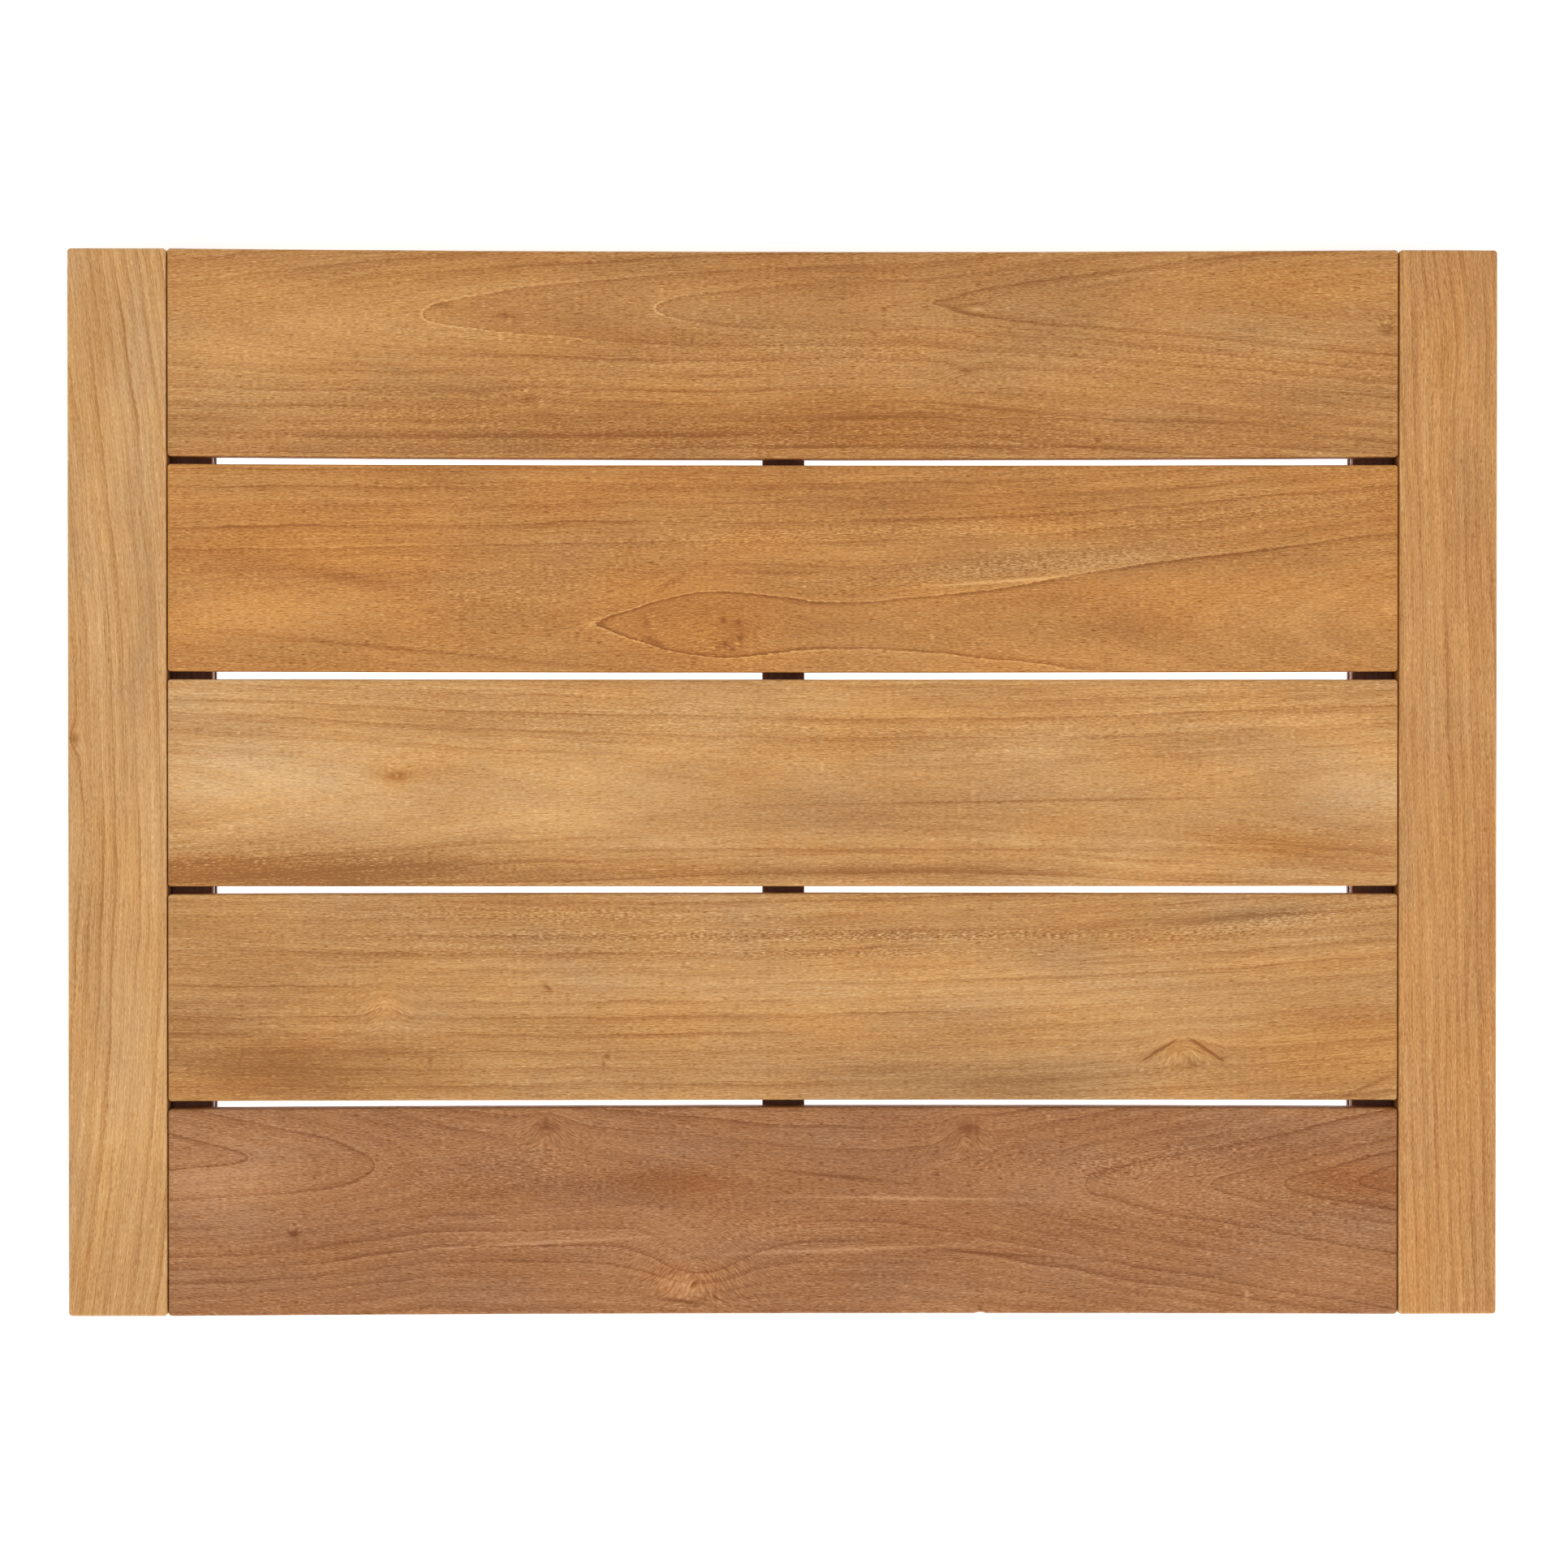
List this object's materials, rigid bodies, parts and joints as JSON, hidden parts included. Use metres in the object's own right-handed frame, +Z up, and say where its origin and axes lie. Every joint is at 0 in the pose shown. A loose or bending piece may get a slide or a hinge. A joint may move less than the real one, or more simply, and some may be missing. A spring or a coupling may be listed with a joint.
{
  "type": "slatted bath mat",
  "caption": "Rigid slatted wooden bath mat: wide teak slats with narrow drainage gaps, end rails, battens below and rubber feet.",
  "frame": {"origin": "on the floor under the middle of the mat", "axes": "+X along the slats towards the right rail, +Y across the slats towards the back edge, +Z up"},
  "size_m": [0.61, 0.455, 0.036],
  "materials": {
    "teak_slat_1": "satin",
    "teak_slat_2": "satin",
    "teak_slat_3": "satin",
    "teak_slat_4": "satin",
    "teak_slat_5": "satin",
    "teak_rail_left": "satin",
    "teak_rail_right": "satin",
    "teak_batten": "satin",
    "stainless_steel": "satin",
    "rubber": "matte"
  },
  "bodies": {
    "root": {"slat_1": "teak_slat_1", "slat_2": "teak_slat_2", "slat_3": "teak_slat_3", "slat_4": "teak_slat_4", "slat_5": "teak_slat_5", "rail_left": "teak_rail_left", "rail_right": "teak_rail_right", "batten_left": "teak_batten", "slat_screws_left": "stainless_steel", "batten_centre": "teak_batten", "slat_screws_centre": "stainless_steel", "batten_right": "teak_batten", "slat_screws_right": "stainless_steel", "rail_screws_left": "stainless_steel", "rail_screws_right": "stainless_steel", "foot_left_back": "rubber", "foot_left_front": "rubber", "foot_centre_back": "rubber", "foot_centre_front": "rubber", "foot_right_back": "rubber", "foot_right_front": "rubber", "foot_washers": "stainless_steel", "foot_screws": "stainless_steel"}
  },
  "joints": []
}
